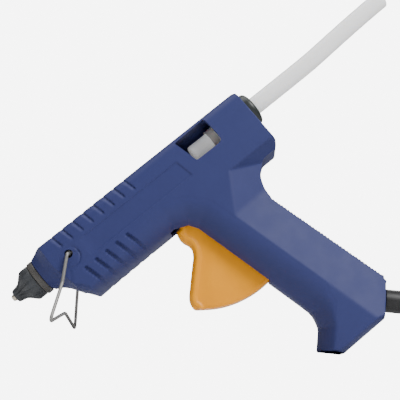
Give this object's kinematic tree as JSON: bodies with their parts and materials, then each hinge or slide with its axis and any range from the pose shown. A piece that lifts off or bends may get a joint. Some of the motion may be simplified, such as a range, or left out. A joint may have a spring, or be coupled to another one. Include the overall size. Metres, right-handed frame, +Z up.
{
  "type": "hot glue gun",
  "caption": "Mains hot-melt glue gun on a folding wire stand, with a squeeze trigger, a feed carriage, a rear-loaded glue stick and a coiled lead with plug.",
  "frame": {"origin": "centre of the standing gun's box, on the floor, the free lead left out", "axes": "+X towards the handle and lead, nozzle to -X; +Y to the gun's right-hand side; +Z up. Barrel leans 45 degrees nose down."},
  "size_m": [0.3315, 0.1125, 0.226],
  "materials": {
    "blue_plastic": "satin moulded",
    "orange_plastic": "satin gloss",
    "dark_rubber": "matte fluted",
    "black_rubber": "matte",
    "ring_grey": "matte",
    "collar_grey": "matte",
    "steel": "plain",
    "brass": "turned",
    "aluminium": "cast",
    "silicone": "matte",
    "mica": "matte",
    "ceramic": "matte",
    "glue": "translucent",
    "white_nylon": "matte",
    "lead_brown": "smooth",
    "lead_blue": "smooth"
  },
  "bodies": {
    "housing": {"left_shell": "blue_plastic", "right_shell": "blue_plastic", "housing_screw_1": "steel", "housing_screw_2": "steel", "housing_screw_3": "steel", "housing_screw_4": "steel", "housing_screw_5": "steel", "housing_screw_6": "steel", "nozzle": "brass", "nozzle_sleeve": "dark_rubber", "front_ring": "ring_grey", "melting_chamber": "aluminium", "heater_plate": "ceramic", "heater_clip": "steel", "front_insulator": "ceramic", "rear_insulator": "mica", "inlet_sleeve": "silicone", "inlet_clip": "steel", "rear_collar": "collar_grey", "trigger_pin": "steel", "trigger_spring": "steel", "cord_boot": "black_rubber", "inner_cord": "black_rubber", "cord_clamp": "white_nylon", "clamp_screw_1": "steel", "clamp_screw_2": "steel", "terminal_block": "white_nylon", "lead_live": "lead_brown", "lead_neutral": "lead_blue", "mains_cord": "black_rubber", "plug_tail": "black_rubber", "cord_coil": "black_rubber", "plug_body": "black_rubber", "plug_pin_1": "steel", "plug_pin_2": "steel"},
    "trigger": {"trigger": "orange_plastic", "link_pin_front": "steel"},
    "carriage": {"feed_carriage": "white_nylon", "claw_pin": "steel"},
    "claw": {"feed_claw": "steel", "link_pin_rear": "steel"},
    "links": {"drive_link_left": "steel", "drive_link_right": "steel"},
    "stick": {"glue_stick": "glue"},
    "stand": {"stand_wire": "steel"}
  },
  "joints": [
    {"name": "trigger_pivot", "type": "hinge", "parent": "housing", "child": "trigger", "pos_m": [-0.01715, 0, 0.07333], "axis": [0, -1, 0], "range_deg": [0, 25], "stiffness_Nm_per_rad": 0.25, "springref_deg": -20.05},
    {"name": "carriage_feed", "type": "slide", "parent": "housing", "child": "carriage", "axis": [-0.7071, 0, -0.7071], "range_m": [0, 0.0079]},
    {"name": "claw_grip", "type": "hinge", "parent": "carriage", "child": "claw", "pos_m": [-0.00089, 0, 0.12028], "axis": [0, 1, 0], "range_deg": [0, 3.2]},
    {"name": "link_swing", "type": "hinge", "parent": "claw", "child": "links", "pos_m": [0.00074, 0, 0.11271], "axis": [0, 1, 0], "range_deg": [0, 1.3]},
    {"name": "stick_slide", "type": "slide", "parent": "carriage", "child": "stick", "axis": [-0.7071, 0, -0.7071], "range_m": [-0.044, 0.04]},
    {"name": "stand_fold", "type": "hinge", "parent": "housing", "child": "stand", "pos_m": [-0.09019, 0, 0.04045], "axis": [0, -1, 0], "range_deg": [0, 75]}
  ],
  "couplings": [
    {"joint": "carriage_feed", "follows": "trigger_pivot", "m_per_rad": 0.0176},
    {"joint": "claw_grip", "follows": "trigger_pivot", "ratio": 0.12},
    {"joint": "link_swing", "follows": "trigger_pivot", "ratio": 0.0408}
  ]
}
